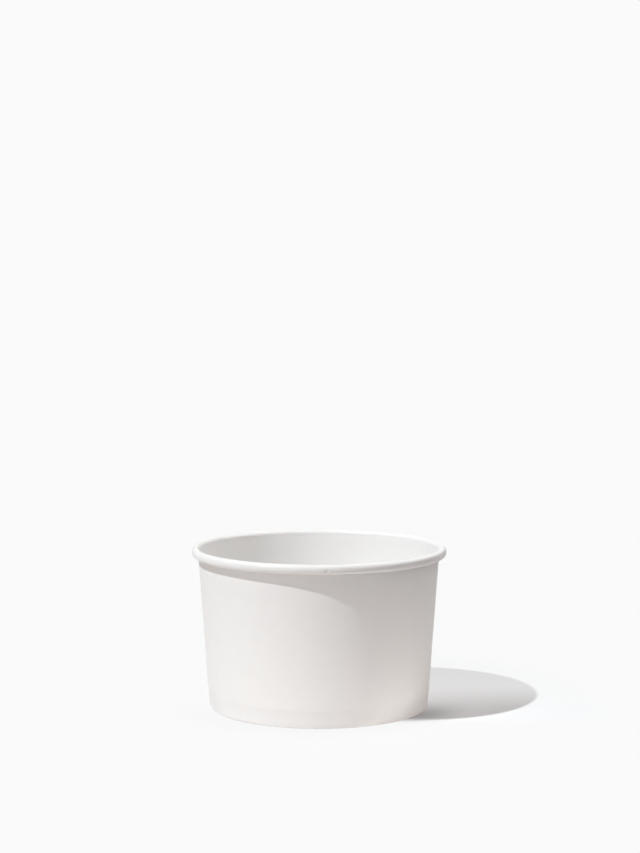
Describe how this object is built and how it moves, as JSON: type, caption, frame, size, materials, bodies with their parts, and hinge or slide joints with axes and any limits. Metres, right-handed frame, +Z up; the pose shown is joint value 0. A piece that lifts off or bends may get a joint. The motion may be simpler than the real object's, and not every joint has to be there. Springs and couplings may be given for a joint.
{
  "type": "paper soup container",
  "caption": "Round tapered paper food container with a rolled rim for a lid, a lapped side seam and a raised floor inside a folded foot.",
  "frame": {"origin": "centre of the foot, on the surface that the container stands on", "axes": "+Z up through the mouth, along the container's axis; the side seam lies towards -X"},
  "size_m": [0.0952, 0.0952, 0.06],
  "materials": {
    "wall_board": "white coated paperboard, semi-matt, no print",
    "base_board": "white coated paperboard, semi-matt, no print"
  },
  "bodies": {
    "root": {"side_wall": "wall_board", "base_disc": "base_board"}
  },
  "joints": []
}
